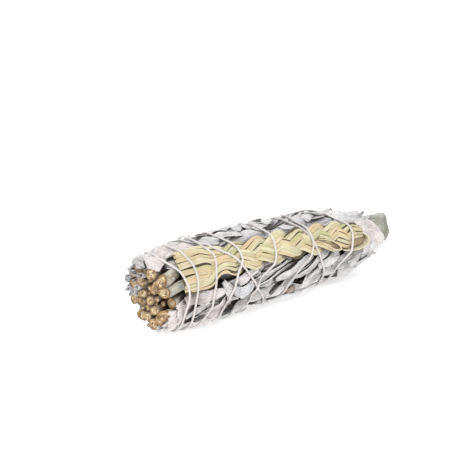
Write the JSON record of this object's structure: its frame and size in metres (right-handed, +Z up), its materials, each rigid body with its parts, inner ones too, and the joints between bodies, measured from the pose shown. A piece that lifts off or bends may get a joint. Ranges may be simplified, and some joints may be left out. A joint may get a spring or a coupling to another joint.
{
  "type": "sage smudge stick",
  "caption": "Bundle of dried white-sage sprigs with a sweetgrass plait along one side, bound from end to end with cotton string, for burning as incense.",
  "frame": {"origin": "centre of the bundle's box, on the floor it lies on", "axes": "+X along the bundle from the cut stems to the leaf tips, +Z up, the plait towards -Y and up"},
  "size_m": [0.1364, 0.0448, 0.0416],
  "materials": {
    "sage": "dried felted leaves, matt",
    "sweetgrass": "dried grass blades, satin",
    "cotton": "twisted cotton, matt"
  },
  "bodies": {
    "root": {"sage_sprig_centre": "sage", "sage_sprig_inner_1": "sage", "sage_sprig_inner_2": "sage", "sage_sprig_inner_3": "sage", "sage_sprig_inner_4": "sage", "sage_sprig_inner_5": "sage", "sage_sprig_inner_6": "sage", "sage_sprig_outer_1": "sage", "sage_sprig_outer_2": "sage", "sage_sprig_outer_3": "sage", "sage_sprig_outer_4": "sage", "sage_sprig_outer_5": "sage", "sage_sprig_outer_6": "sage", "sage_sprig_outer_7": "sage", "sage_sprig_outer_8": "sage", "sage_sprig_outer_9": "sage", "sage_sprig_outer_10": "sage", "sage_sprig_outer_11": "sage", "sage_sprig_outer_12": "sage", "sweetgrass_plait": "sweetgrass", "cotton_string": "cotton"}
  },
  "joints": []
}
